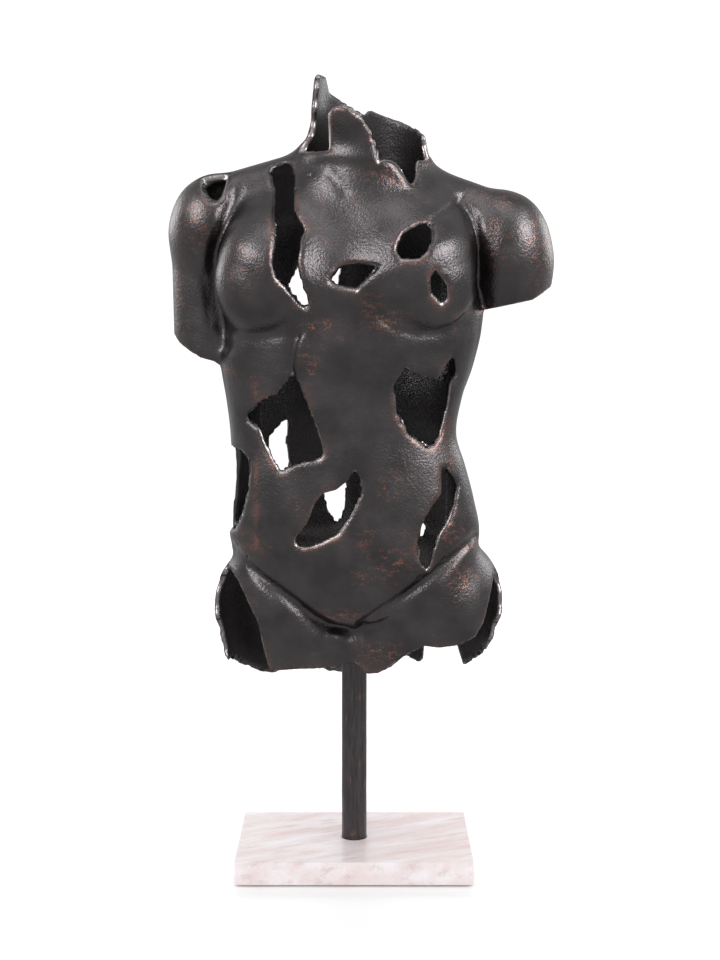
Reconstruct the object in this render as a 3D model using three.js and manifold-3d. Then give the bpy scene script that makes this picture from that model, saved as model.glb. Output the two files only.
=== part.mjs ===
// A cast aluminium torso with torn openings, held by a steel rod on a marble slab.
// Millimetres, +Z up, with the front towards -Y. The origin is on the floor, under the middle of the whole.
import * as THREE from "three";
import { mergeVertices } from "three/addons/utils/BufferGeometryUtils.js";
import Module from "manifold-3d";

const wasm = await Module();
wasm.setup();
const { Manifold, Mesh } = wasm;
const { clamp, smoothstep, degToRad } = THREE.MathUtils;

// Marble slab and its pads
const slabWidth = 200;
const slabDepth = 130;
const slabHeight = 20;
const slabCorner = 3;
const slabEdge = 1;
const padDiameter = 14;
const padHeight = 1.5;
const padInset = 14;
const slabCornerSteps = 3;
const padSides = 16;

// Steel rod
const rodDiameter = 21.5;
const rodShown = 163.5;
const rodInSlab = 12;
const rodInBoss = 45;
const rodSides = 24;

// Torso casting
const torsoHeight = 521;
const wall = 5;
const bossWall = 4.5;
const bossTop = 5;
const bossBelow = 2.5;
const bossSink = 2.5;
const webThickness = 10;
const skinFacet = 17;
const hollowFacet = 20;

// Fits
const gap = 0.3;

const slabTop = padHeight + slabHeight;
const crotchUp = slabTop + rodShown;
const rodRadius = rodDiameter / 2;

// The figure is drawn in its own units, with z counted from the crotch, and scaled to the torso's height
const drawnTop = 490;
const drawnBottom = -31;
const unit = torsoHeight / (drawnTop - drawnBottom);
const drawnBox = [[-200, -150, -140], [220, 150, 630]];
const drawnBeyond = 160;

// Trunk sections: height, middle in x, half width, front, back
const trunkSections = [
  [5, 1, 60, -44, 50],
  [40, 1, 84, -60, 60],
  [73, 0, 99, -67, 62],
  [105, -1, 103, -70, 58],
  [137, -2, 101, -69, 50],
  [165, -4, 96, -66, 44],
  [191, -8, 92, -63, 43],
  [219, -8, 97, -64, 47],
  [249, -6, 105, -66, 54],
  [279, -4, 110, -67, 60],
  [315, -3, 112, -63, 64],
  [350, -1, 106, -53, 64],
  [377, 2, 92, -40, 60],
  [401, 4, 62, -26, 50],
  [415, 8, 36, -12, 38],
];
const sectionPower = 2.35;

// Shapes as signed distances: negative inside, positive outside
const ramp = (value) => smoothstep(value, 0, 1);
const hill = (offset, width) => Math.exp(-((offset / width) ** 2));

function join(a, b, soft) {
  const share = clamp(0.5 + (0.5 * (b - a)) / soft, 0, 1);
  return b + (a - b) * share - soft * share * (1 - share);
}

const cut = (a, b, soft) => -join(-a, b, soft);

function ellipsoid([x, y, z], [cx, cy, cz], [rx, ry, rz], turn = 0) {
  const sine = Math.sin(degToRad(turn));
  const cosine = Math.cos(degToRad(turn));
  const across = cosine * (x - cx) + sine * (y - cy);
  const along = cosine * (y - cy) - sine * (x - cx);
  const up = z - cz;
  const near = Math.hypot(across / rx, along / ry, up / rz) + 1e-6;
  const slope = Math.hypot(across / rx ** 2, along / ry ** 2, up / rz ** 2) + 1e-9;
  return (near * (near - 1)) / slope;
}

function limb([x, y, z], start, end, startRadius, endRadius) {
  const way = end.map((value, axis) => value - start[axis]);
  const off = [x - start[0], y - start[1], z - start[2]];
  const dot = off[0] * way[0] + off[1] * way[1] + off[2] * way[2];
  const share = clamp(dot / (way[0] ** 2 + way[1] ** 2 + way[2] ** 2), 0, 1);
  const side = off.map((value, axis) => value - share * way[axis]);
  return Math.hypot(...side) - (startRadius + (endRadius - startRadius) * share);
}

// Smooth curve through one column of the trunk sections
function sectionAt(up, column) {
  const last = trunkSections.length - 1;
  let low = 0;
  while (low < last - 1 && trunkSections[low + 1][0] < up) low += 1;
  const before = trunkSections[Math.max(low - 1, 0)];
  const from = trunkSections[low];
  const to = trunkSections[low + 1];
  const after = trunkSections[Math.min(low + 2, last)];
  const span = to[0] - from[0];
  const slopeFrom = (to[column] - before[column]) / (to[0] - before[0]);
  const slopeTo = (after[column] - from[column]) / (after[0] - from[0]);
  const t = (up - from[0]) / span;
  const ease = t * t * (3 - 2 * t);
  const leave = t * (1 - t) ** 2 * span * slopeFrom;
  const arrive = -t * t * (1 - t) * span * slopeTo;
  return from[column] + (to[column] - from[column]) * ease + leave + arrive;
}

function trunk([x, y, z]) {
  const bottom = trunkSections[0][0];
  const top = trunkSections.at(-1)[0];
  const up = clamp(z, bottom, top);
  const [middle, half, front, back] = [1, 2, 3, 4].map((column) => sectionAt(up, column));
  const depth = (back - front) / 2;
  const across = Math.abs(x - middle) / half + 1e-9;
  const along = Math.abs(y - (front + back) / 2) / depth + 1e-9;
  const near = (across ** sectionPower + along ** sectionPower) ** (1 / sectionPower);
  const lean = Math.hypot(across ** (sectionPower - 1) / half, along ** (sectionPower - 1) / depth);
  const skin = (near - 1) / (lean * near ** (1 - sectionPower));
  const spine = 6 * hill(x - middle - 2, 15) * ramp(y / 30) * ramp((z - 60) / 30);
  const carved = skin + spine;
  const over = Math.max(bottom - z, z - top);
  return over > 0 ? Math.max(carved, over) : carved;
}

// Hips and thighs lie behind the belly, which ends on a V above them
function hips(p) {
  let form = limb(p, [-60, 5, 37], [-51, 6, -45], 62, 54);
  form = join(form, limb(p, [66, 5, 41], [52, 6, -45], 63, 52), 10);
  form = join(form, ellipsoid(p, [2, 18, 65], [92, 58, 52]), 20);
  form = join(form, ellipsoid(p, [-50, 46, 37], [56, 45, 56]), 14);
  form = join(form, ellipsoid(p, [54, 46, 39], [56, 45, 56]), 14);
  return join(form, ellipsoid(p, [-1, -6, 12], [34, 27, 30]), 10);
}

// A breast runs softly into the chest above and inwards, and has a crease below and outwards
function breast(p, form, middle, up, radii, side) {
  const away = ((p[0] - middle) * side * 0.45 - (p[2] - up) * 0.9) / 40;
  const soft = 5 + 45 * ramp(0.5 - 0.9 * away);
  return join(form, ellipsoid(p, [middle, -40, up], radii, 13 * side - 5), soft);
}

// The whole figure without its arms
function body(p) {
  const groin = (15 + 0.69 * Math.hypot(p[0] + 4, 16) - p[2]) * 0.82 - 40 * ramp((p[1] + 20) / 50);
  let form = cut(trunk(p), -groin, 12);
  form = join(form, hips(p), 7);
  form = join(form, limb(p, [9, 12, 385], [20, 7, 545], 48, 43), 24);
  form = join(form, limb(p, [-18, 24, 409], [-108, 12, 378], 20, 27), 22);
  form = join(form, limb(p, [42, 22, 401], [112, 10, 367], 20, 28), 22);
  form = join(form, ellipsoid(p, [-60, 48, 322], [36, 24, 50], -12), 14);
  form = join(form, ellipsoid(p, [58, 48, 318], [36, 24, 50], 12), 14);
  form = breast(p, form, -75, 317, [45, 38, 47], -1);
  form = breast(p, form, 56, 318, [46, 40, 45], 1);
  form = join(form, ellipsoid(p, [0, -30, 460], [24, 16, 22]), 12);
  form = cut(form, limb(p, [-118, -54, 270], [-104, -66, 190], 8, 7), 12);
  form = cut(form, limb(p, [-52, -76, 282], [-46, -73, 225], 4, 5), 8);
  return cut(form, limb(p, [60, -70, 364], [96, -42, 388], 5, 5), 8);
}

// Arm stumps, drawn longer than the lines they are torn off at
const arms = [
  (p) =>
    join(ellipsoid(p, [-119, 12, 361], [36, 42, 45]), limb(p, [-120, 14, 355], [-121, 16, 195], 34, 31), 8),
  (p) =>
    join(ellipsoid(p, [128, 8, 339], [39, 43, 54]), limb(p, [129, 10, 330], [127, 14, 215], 37, 35), 8),
];
const armSoft = 9;
const figure = (p) => arms.reduce((form, arm) => join(form, arm(p), armSoft), body(p));

// Torn openings in the front wall, the side and the shoulder: outline in x and z, then from and to in y
const tears = [
  // Long slot down the left of the chest
  [[[-70, 410], [-59, 416], [-51, 414], [-49, 408], [-47, 374], [-38, 358], [-41, 350], [-43, 333],
    [-39, 314], [-34, 301], [-36, 291], [-46, 300], [-64, 322], [-65, 333], [-64, 359],
    [-67, 393]], -120, 12],
  // Eye between the breasts
  [[[-21, 317], [-13, 329], [-7, 332], [5, 333], [22, 330], [15, 323], [7, 315], [3, 309],
    [-11, 312]], -120, 0],
  // Two holes in the right breast
  [[[32, 343], [38, 356], [51, 363], [59, 364], [63, 360], [63, 350], [58, 338], [51, 334],
    [37, 333]], -120, 0],
  [[[64, 329], [75, 315], [76, 302], [70, 297], [61, 307], [60, 321]], -120, 0],
  // Left ribs
  [[[-49, 247], [-63, 228], [-76, 222], [-89, 210], [-88, 204], [-78, 197], [-72, 182], [-61, 163],
    [-57, 163], [-49, 169], [-27, 173], [-23, 179], [-28, 198], [-37, 221], [-44, 238]], -120, 0],
  // Right ribs
  [[[31, 235], [42, 251], [49, 243], [58, 242], [67, 239], [81, 260], [83, 256], [85, 244], [80, 234],
    [78, 216], [75, 205], [71, 190], [63, 182], [55, 185], [44, 193], [34, 210], [33, 221]], -120, 0],
  // Belly leaf
  [[[1, 168], [7, 158], [6, 144], [-1, 128], [-11, 113], [-26, 105], [-42, 101], [-49, 104],
    [-49, 110], [-39, 123], [-33, 139], [-26, 148], [-15, 151], [-6, 158]], -120, 0],
  // Curved slot on the right of the belly
  [[[71, 166], [77, 167], [83, 157], [86, 148], [83, 135], [79, 123], [71, 111], [66, 96], [63, 83],
    [59, 81], [52, 91], [51, 106], [54, 120], [62, 134], [70, 144], [71, 156]], -120, 0],
  // Left flank, round to the side
  [[[-140, 181], [-93, 181], [-85, 173], [-84, 163], [-86, 145], [-91, 126], [-97, 112], [-104, 108],
    [-140, 108]], -120, 6],
  // Top of the left shoulder
  [[[-127, 430], [-127, 401], [-125, 394], [-120, 387], [-114, 384], [-108, 388], [-105, 401],
    [-105, 430]], -60, 4],
  // Back wall: left shoulder blade, waist, loin and right loin
  [[[-49, 334], [-60, 314], [-46, 294], [-25, 300], [-16, 313], [-13, 331], [-30, 341]], 0, 120],
  [[[-64, 197], [-60, 200], [-56, 199], [-58, 178], [-55, 160], [-58, 148], [-70, 166], [-70, 184]], 0, 120],
  [[[-34, 156], [-5, 158], [-6, 138], [-7, 126], [-9, 110], [-16, 103], [-23, 112], [-28, 128]], 0, 120],
  [[[44, 113], [58, 109], [62, 100], [59, 91], [48, 88]], 0, 120],
];

// Ragged ends of the neck and the hem, each in a front and a back part that meet on a wandering side line
const neckFront = [
  [-140, 600], [-140, 450], [-60, 424.5], [-43, 424], [-19, 423], [-20, 452], [-16, 457], [-7, 457],
  [5, 449], [14, 436], [19, 421], [18, 413], [25, 415], [32, 414], [38, 408], [43, 398], [48, 395],
  [51, 402], [52, 416], [66, 418], [80, 450], [80, 600],
];
const neckBack = [
  [-140, 600], [-140, 520], [-34, 489], [-24, 490], [-21, 477], [-8, 470], [5, 463], [8, 460],
  [13, 465], [22, 461], [40, 454], [54, 446], [60, 437], [63, 423], [90, 440], [140, 600],
];
const hemFront = [
  [-160, 78], [-104, 76], [-97, 70], [-90, 58], [-80, 39], [-75, 15], [-70, -4], [-45, -2], [-16, -4],
  [-8, 0], [0, 2], [7, -4], [10, -11], [19, -10], [26, -6], [36, 4], [49, 13], [58, 18], [74, 16],
  [88, 18], [101, 23], [108, 34], [113, 53], [119, 73], [130, 80], [160, 80], [160, -130], [-160, -130],
];
const hemBack = [
  [-160, 24], [-128, 22], [-119, 18], [-115, 8], [-112, -1], [-101, -16], [-86, -27], [-74, -31],
  [-50, -24], [-22, -28], [10, -21], [32, -26], [46, -18], [57, -23], [62, -22], [64, -6], [76, 4],
  [91, -3], [93, -9], [97, -21], [109, -9], [122, 12], [128, 29], [160, 40], [160, -130], [-160, -130],
];
const sideLine = (up) => 8 + 3 * Math.sin(up / 7) + 2 * Math.sin(up / 3.1 + 1);
const sideStep = 14;
const sideLap = 0.1;
const neckFrom = 380;
const hemTo = 90;

// What hangs below the torn ends of the arm stumps, which part from the trunk just outside its skin
const armParting = 0.8;
const armEnds = [
  [[-180, 276], [-152, 273], [-147, 267], [-137, 260], [-128, 255], [-117, 252], [-108, 246],
    [-80, 240], [-80, 100], [-180, 100]],
  [[180, 318], [162, 312], [158, 309], [148, 303], [129, 299], [110, 295], [80, 290], [80, 100],
    [180, 100]],
];

// The corners, edges and faces of a grid cell; a corner's number holds its place along x, y and z as bits
const corners = [0, 1, 2, 3, 4, 5, 6, 7].map((bits) => [bits & 1, (bits >> 1) & 1, bits >> 2]);
const cellFaces = [[0, 1, 3, 2], [4, 5, 7, 6], [0, 1, 5, 4], [2, 3, 7, 6], [0, 2, 6, 4], [1, 3, 7, 5]];
const edgeNumber = (a, b) => Math.min(a, b) * 8 + Math.max(a, b);

// Sheets of the surface inside one cell, each as the list of cell edges that it crosses
function sheetsInCell(values) {
  const sheetOf = new Map();
  const tie = (one, other) => {
    const kept = sheetOf.get(one) ?? [one];
    const joined = sheetOf.get(other) ?? [other];
    const both = kept === joined ? kept : [...kept, ...joined];
    for (const edge of both) sheetOf.set(edge, both);
  };
  for (const face of cellFaces)
    face.forEach((corner, turn) => {
      const before = face[(turn + 3) % 4];
      const after = face[(turn + 1) % 4];
      const across = face[(turn + 2) % 4];
      if (values[corner] >= 0) return;
      if (values[before] < 0) return;
      let end = edgeNumber(corner, after);
      if (values[after] < 0) end = edgeNumber(across, values[across] < 0 ? before : after);
      tie(edgeNumber(corner, before), end);
    });
  return [...new Set(sheetOf.values())];
}

// Moves a point onto the surface of a shape by steps down its slope
function settle(shape, start, farthest) {
  const reach = 0.5;
  let p = start;
  for (let pass = 0; pass < 3; pass += 1) {
    const here = p;
    const slope = [0, 1, 2].map((axis) => {
      const ahead = here.map((value, index) => value + (index === axis ? reach : 0));
      const behind = here.map((value, index) => value - (index === axis ? reach : 0));
      return (shape(ahead) - shape(behind)) / (2 * reach);
    });
    const move = shape(here) / Math.max(slope[0] ** 2 + slope[1] ** 2 + slope[2] ** 2, 0.1);
    p = here.map((value, axis) => value - clamp(move * slope[axis], -farthest, farthest));
  }
  return p;
}

// Faceted solid of a shape: one corner for each sheet of the surface in each grid cell that it crosses
function solidOf(shape, facet) {
  const step = facet / unit;
  const [low, high] = drawnBox;
  const count = low.map((value, axis) => Math.ceil((high[axis] - value) / step) + 1);
  const at = (i, j, k) => (i * count[1] + j) * count[2] + k;
  const values = new Float64Array(count[0] * count[1] * count[2]);
  for (let i = 0; i < count[0]; i += 1)
    for (let j = 0; j < count[1]; j += 1)
      for (let k = 0; k < count[2]; k += 1)
        values[at(i, j, k)] = shape([low[0] + i * step, low[1] + j * step, low[2] + k * step]);

  const points = [];
  const pointOf = new Map();
  for (let i = 0; i < count[0] - 1; i += 1)
    for (let j = 0; j < count[1] - 1; j += 1)
      for (let k = 0; k < count[2] - 1; k += 1) {
        const cell = corners.map(([a, b, c]) => values[at(i + a, j + b, k + c)]);
        for (const sheet of sheetsInCell(cell)) {
          const start = [0, 1, 2].map((axis) => {
            const places = sheet.map((edge) => {
              const [from, to] = [edge >> 3, edge & 7];
              const share = cell[from] / (cell[from] - cell[to]);
              return corners[from][axis] + share * (corners[to][axis] - corners[from][axis]);
            });
            const mean = places.reduce((sum, value) => sum + value, 0) / places.length;
            return low[axis] + step * ([i, j, k][axis] + mean);
          });
          for (const edge of sheet) pointOf.set(at(i, j, k) * 64 + edge, points.length);
          points.push(settle(shape, start, step / 2));
        }
      }

  // Every grid edge that the surface crosses lies between four cells, which gives two triangles
  const faces = [];
  const strides = [at(1, 0, 0), at(0, 1, 0), 1];
  for (let i = 1; i < count[0] - 1; i += 1)
    for (let j = 1; j < count[1] - 1; j += 1)
      for (let k = 1; k < count[2] - 1; k += 1)
        for (let axis = 0; axis < 3; axis += 1) {
          const here = at(i, j, k);
          const inside = values[here] < 0;
          if (inside === values[here + strides[axis]] < 0) continue;
          const [u, v] = [(axis + 1) % 3, (axis + 2) % 3];
          const ring = [[1, 1], [0, 1], [0, 0], [1, 0]].map(([a, b]) => {
            const from = (a << u) | (b << v);
            const cell = here - a * strides[u] - b * strides[v];
            return pointOf.get(cell * 64 + edgeNumber(from, from | (1 << axis)));
          });
          if (!inside) ring.reverse();
          faces.push(ring[0], ring[1], ring[2], ring[0], ring[2], ring[3]);
        }
  return solidFrom(points.flat(), faces, true);
}

// Solid in millimetres from corner positions and triangles
function solidFrom(positions, faces, drawn) {
  const mesh = new Mesh({
    numProp: 3,
    vertProperties: new Float32Array(positions),
    triVerts: new Uint32Array(faces),
  });
  const made = new Manifold(mesh);
  return drawn ? made.scale(unit).translate(0, 0, crotchUp) : made;
}

function solidOfGeometry(geometry, drawn = false) {
  geometry.deleteAttribute("normal");
  geometry.deleteAttribute("uv");
  const { attributes, index } = mergeVertices(geometry);
  return solidFrom(attributes.position.array, index.array, drawn);
}

// Straight bar with an outline drawn on two axes, from one place to another along the third
function bar(outline, across, from, to) {
  const shape = new THREE.Shape(outline.map(([a, b]) => new THREE.Vector2(a, b)));
  const geometry = new THREE.ExtrudeGeometry(shape, { depth: to - from, bevelEnabled: false });
  const up = new THREE.Vector3(0, 0, 1);
  const along = new THREE.Vector3().crossVectors(across, up);
  geometry.applyMatrix4(new THREE.Matrix4().makeBasis(across, up, along));
  geometry.translate(...along.clone().multiplyScalar(from).toArray());
  return solidOfGeometry(geometry, true);
}

const rightward = new THREE.Vector3(1, 0, 0);
const backward = new THREE.Vector3(0, 1, 0);

// The outline's bar runs along -Y, so its ends change sign
const tearBar = (outline, from, to) => bar(outline, rightward, -to, -from);

// Everything in front of the side line, or behind it
function sideBar(front, [low, high]) {
  const edge = [];
  const lap = front ? 0 : -sideLap;
  for (let up = low; up <= high; up += sideStep) edge.push([sideLine(up) + lap, up]);
  const reach = front ? -drawnBeyond : drawnBeyond;
  const outline = [...edge, [reach, edge.at(-1)[1]], [reach, low]];
  return bar(outline, backward, -2 * drawnBeyond, 2 * drawnBeyond);
}

const raggedEnd = (outline, front, heights) =>
  tearBar(outline, -drawnBeyond, drawnBeyond).intersect(sideBar(front, heights));

// Round bar standing on a height
function post(radius, height, bottom, sides = rodSides) {
  const geometry = new THREE.CylinderGeometry(radius, radius, height, sides);
  geometry.rotateX(Math.PI / 2);
  geometry.translate(0, 0, bottom + height / 2);
  return solidOfGeometry(geometry);
}

// The cutters can leave loose crumbs beside the casting
function largest(solid) {
  return solid.decompose().reduce((a, b) => (a.volume() > b.volume() ? a : b));
}

function torsoSolid() {
  const skin = solidOf(figure, skinFacet);
  const trunkSkin = solidOf((p) => body(p) - armParting, hollowFacet);
  const trunkHollow = solidOf((p) => body(p) + wall / unit, hollowFacet);
  const armInside = (arm) => solidOf((p) => arm(p) + wall / unit, hollowFacet);
  const armHollows = arms.map((arm) => armInside(arm).subtract(trunkSkin));
  const armCuts = armEnds.map((outline) => tearBar(outline, -drawnBeyond, drawnBeyond).subtract(trunkSkin));
  const openings = tears.map(([outline, from, to]) => tearBar(outline, from, to));
  const neckHeights = [neckFrom, drawnTop + drawnBeyond];
  const hemHeights = [drawnBottom - drawnBeyond, hemTo];
  const ends = [
    raggedEnd(neckFront, true, neckHeights),
    raggedEnd(neckBack, false, neckHeights),
    raggedEnd(hemFront, true, hemHeights),
    raggedEnd(hemBack, false, hemHeights),
  ];
  const shell = skin
    .subtract(Manifold.union([trunkHollow, ...armHollows]))
    .subtract(Manifold.union([...armCuts, ...openings, ...ends]));

  // Boss over the rod's end, with a web to the front wall
  const bossRadius = rodRadius + gap + bossWall;
  const bossHeight = bossBelow + rodInBoss + gap + bossTop;
  const webLength = drawnBeyond * unit;
  const web = new THREE.BoxGeometry(webThickness, webLength, rodInBoss);
  web.translate(0, -webLength / 2, crotchUp + rodInBoss / 2 + bossTop);
  const withinSkin = solidOf((p) => body(p) + bossSink / unit, hollowFacet);
  const boss = post(bossRadius, bossHeight, crotchUp - bossBelow).add(solidOfGeometry(web));
  const bore = post(rodRadius + gap, crotchUp + rodInBoss + gap, 0);
  return largest(shell.add(boss.intersect(withinSkin)).subtract(bore));
}

function slabSolid() {
  const width = slabWidth - 2 * slabEdge;
  const depth = slabDepth - 2 * slabEdge;
  const shape = new THREE.Shape();
  const [x, y, r] = [width / 2, depth / 2, slabCorner - slabEdge];
  shape.moveTo(-x + r, -y).lineTo(x - r, -y).absarc(x - r, -y + r, r, -Math.PI / 2, 0);
  shape.lineTo(x, y - r).absarc(x - r, y - r, r, 0, Math.PI / 2);
  shape.lineTo(-x + r, y).absarc(-x + r, y - r, r, Math.PI / 2, Math.PI);
  shape.lineTo(-x, -y + r).absarc(-x + r, -y + r, r, Math.PI, 1.5 * Math.PI);
  const geometry = new THREE.ExtrudeGeometry(shape, {
    depth: slabHeight - 2 * slabEdge,
    bevelSize: slabEdge,
    bevelThickness: slabEdge,
    bevelSegments: 1,
    curveSegments: slabCornerSteps,
  });
  geometry.translate(0, 0, padHeight + slabEdge);
  const socket = post(rodRadius + gap, rodInSlab + slabHeight, slabTop - rodInSlab);
  return solidOfGeometry(geometry).subtract(socket);
}

// Scene graph
const torsoMetal = new THREE.MeshStandardMaterial({ color: 0x3f3a39, roughness: 0.42, metalness: 0.9 });
const rodMetal = new THREE.MeshStandardMaterial({ color: 0x302e2e, roughness: 0.45, metalness: 0.9 });
const marble = new THREE.MeshStandardMaterial({ color: 0xe9dedd, roughness: 0.15, metalness: 0 });
const rubber = new THREE.MeshStandardMaterial({ color: 0xc9c6c2, roughness: 0.7, metalness: 0 });

function piece(name, solid, material) {
  const { vertProperties, triVerts } = solid.getMesh();
  const geometry = new THREE.BufferGeometry();
  geometry.setAttribute("position", new THREE.BufferAttribute(vertProperties, 3));
  geometry.setIndex(new THREE.BufferAttribute(triVerts, 1));
  const mesh = new THREE.Mesh(geometry, material);
  mesh.name = name;
  return mesh;
}

const sculpture = new THREE.Group();
sculpture.name = "torso_sculpture";
sculpture.add(piece("torso", torsoSolid(), torsoMetal));
const rodBottom = slabTop - rodInSlab + gap;
sculpture.add(piece("rod", post(rodRadius, crotchUp + rodInBoss - rodBottom, rodBottom), rodMetal));
sculpture.add(piece("slab", slabSolid(), marble));
for (const [side, x] of [["left", -1], ["right", 1]])
  for (const [end, y] of [["front", -1], ["back", 1]]) {
    const pad = post(padDiameter / 2, padHeight - gap, 0, padSides);
    const place = [x * (slabWidth / 2 - padInset), y * (slabDepth / 2 - padInset), 0];
    sculpture.add(piece(`pad_${end}_${side}`, pad.translate(place), rubber));
  }

// The pieces above are placed round the rod's axis, and the group moves them over the origin
const middle = new THREE.Box3().setFromObject(sculpture).getCenter(new THREE.Vector3());
sculpture.position.set(-middle.x, -middle.y, 0);

export default sculpture;
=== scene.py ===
# %% [markdown]
# # A torn cast torso on a marble slab
# This lesson dresses a measured model: a hollow cast aluminium torso with torn openings, held by a dark
# rod on a slab of pinkish marble with four small pads. The measured model gives every size and place.
# Each step below makes one piece or one finish and says why it is made that way.

# %% Load the measured model
import math

import bmesh
import bpy
import numpy as np
from mathutils import Matrix, Vector


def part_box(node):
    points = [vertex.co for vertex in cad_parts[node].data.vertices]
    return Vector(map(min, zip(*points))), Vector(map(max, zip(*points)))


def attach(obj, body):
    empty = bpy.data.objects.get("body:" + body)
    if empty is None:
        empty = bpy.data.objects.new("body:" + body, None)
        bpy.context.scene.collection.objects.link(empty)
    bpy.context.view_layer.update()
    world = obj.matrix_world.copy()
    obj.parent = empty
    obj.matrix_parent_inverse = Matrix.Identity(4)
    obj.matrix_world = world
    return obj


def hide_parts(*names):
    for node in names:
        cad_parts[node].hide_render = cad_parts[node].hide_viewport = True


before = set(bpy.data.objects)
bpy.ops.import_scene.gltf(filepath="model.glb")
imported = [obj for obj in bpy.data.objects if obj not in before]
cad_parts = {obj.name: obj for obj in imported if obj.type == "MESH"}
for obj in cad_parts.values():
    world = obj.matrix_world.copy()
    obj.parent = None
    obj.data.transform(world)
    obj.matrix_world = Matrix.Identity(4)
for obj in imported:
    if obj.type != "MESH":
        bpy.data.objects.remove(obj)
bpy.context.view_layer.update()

# %% [markdown]
# ## Where things stand
# The rod's solid in the measured model is a straight round bar, so its box gives the rod's axis and
# radius. The torso was drawn round that axis, with its heights counted from the crotch, and the same
# numbers serve here. Working in millimetres keeps them readable, and they become metres at the very end.

# %% Sizes read from the measured model
MM = 1000.0
rod_low, rod_high = (np.array(corner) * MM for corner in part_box("rod"))
slab_low, slab_high = (np.array(corner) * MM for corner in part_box("slab"))
pad_low, pad_high = (np.array(corner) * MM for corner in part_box("pad_front_left"))
axis_x, axis_y = (rod_low[:2] + rod_high[:2]) / 2
rod_radius = (rod_high[0] - rod_low[0]) / 2
rod_in_torso = 45.0
crotch_up = rod_high[2] - rod_in_torso
fit_gap = 0.3
print(f"rod radius {rod_radius:.2f} mm, crotch {crotch_up:.1f} mm above the floor")

# %% [markdown]
# ## Soft and hard joins
# Cast figures have no sharp seams: a breast runs into the chest, a thigh rolls under the belly. A
# signed distance says how far a point is from a form, negative inside it. Taking the smaller of two
# distances joins two forms, and blending near the place where they are equal makes the join soft.
# This could be sculpted by hand, but distances can be checked against the measured model.

# %% Joins, ramps and hills
def join(first, second, soft):
    """Union of two forms, rounded over a width"""
    share = np.clip(0.5 + 0.5 * (second - first) / soft, 0, 1)
    return second + (first - second) * share - soft * share * (1 - share)


def cut(form, cutter, soft):
    """A form without a cutter, with rounded edges"""
    return -join(-form, cutter, soft)


def ramp(value):
    """Smooth step from 0 to 1"""
    value = np.clip(value, 0, 1)
    return value * value * (3 - 2 * value)


def hill(offset, width):
    """Bell that is 1 in its middle"""
    return np.exp(-((offset / width) ** 2))


# %% [markdown]
# ## Simple forms
# Muscles are close to ellipsoids, and limbs to bars whose radius changes along the way.

# %% Ellipsoids and limbs
def ellipsoid(p, centre, radii, turn=0.0):
    """Distance to an ellipsoid that may be turned about the upright axis, in degrees"""
    x, y, z = (p[..., i] - centre[i] for i in range(3))
    sine, cosine = math.sin(math.radians(turn)), math.cos(math.radians(turn))
    x, y = cosine * x + sine * y, cosine * y - sine * x
    near = np.sqrt((x / radii[0]) ** 2 + (y / radii[1]) ** 2 + (z / radii[2]) ** 2) + 1e-6
    slope = np.sqrt((x / radii[0] ** 2) ** 2 + (y / radii[1] ** 2) ** 2 + (z / radii[2] ** 2) ** 2)
    return near * (near - 1) / (slope + 1e-9)


def limb(p, start, end, start_radius, end_radius):
    """Distance to a round bar between two points"""
    start, end = np.array(start, float), np.array(end, float)
    off, way = p - start, end - start
    share = np.clip(off @ way / (way @ way), 0, 1)
    side = off - share[..., None] * way
    return np.sqrt((side * side).sum(-1)) - (start_radius + (end_radius - start_radius) * share)


# %% [markdown]
# ## The trunk
# The trunk is a stack of rounded sections: each row gives a height, the middle in x, half the width,
# and how far it comes to the front and to the back. A smooth curve runs through each column, so the
# ribs, waist and hips flow into each other. The spine is a shallow groove taken off the same distance.

# %% Trunk
TRUNK = np.array([
    (5, 1, 60, -44, 50), (40, 1, 84, -60, 60), (73, 0, 99, -67, 62), (105, 0.5, 106, -70, 58),
    (137, -2, 103, -69, 50), (165, -5, 98.5, -66, 44), (191, -8.5, 94.5, -63, 43), (219, -8, 98, -64, 47),
    (249, -6, 105, -66, 54), (279, -4, 110, -67, 60), (315, -3, 112, -63, 64), (350, -1, 106, -53, 64),
    (377, 2, 92, -40, 60), (401, 4, 62, -26, 50), (415, 8, 36, -12, 38),
], float)
SECTION_POWER = 2.35
SPINE_DEPTH, SPINE_WIDTH, SPINE_FROM = 6, 15, 60


def section_at(up, column):
    """Smooth curve through one column of the trunk's sections"""
    heights, values = TRUNK[:, 0], TRUNK[:, column]
    low = np.clip(np.searchsorted(heights, up) - 1, 0, len(heights) - 2)
    before, after = np.maximum(low - 1, 0), np.minimum(low + 2, len(heights) - 1)
    span = heights[low + 1] - heights[low]
    leave = (values[low + 1] - values[before]) / (heights[low + 1] - heights[before])
    arrive = (values[after] - values[low]) / (heights[after] - heights[low])
    t = (up - heights[low]) / span
    ease = t * t * (3 - 2 * t)
    bend = t * (1 - t) ** 2 * span * leave - t * t * (1 - t) * span * arrive
    return values[low] + (values[low + 1] - values[low]) * ease + bend


def trunk(p):
    """Distance to the trunk, with the spine let in"""
    x, y, z = p[..., 0], p[..., 1], p[..., 2]
    bottom, top = TRUNK[0, 0], TRUNK[-1, 0]
    middle, half, front, back = (section_at(np.clip(z, bottom, top), column) for column in (1, 2, 3, 4))
    depth = (back - front) / 2
    across = np.abs(x - middle) / half + 1e-9
    along = np.abs(y - (front + back) / 2) / depth + 1e-9
    near = (across ** SECTION_POWER + along ** SECTION_POWER) ** (1 / SECTION_POWER)
    steep = np.hypot(across ** (SECTION_POWER - 1) / half, along ** (SECTION_POWER - 1) / depth)
    skin = (near - 1) / (steep * near ** (1 - SECTION_POWER))
    spine = SPINE_DEPTH * hill(x - middle - 2, SPINE_WIDTH) * ramp(y / 30) * ramp((z - SPINE_FROM) / 30)
    skin = skin + spine
    over = np.maximum(bottom - z, z - top)
    return np.where(over > 0, np.maximum(skin, over), skin)


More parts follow.
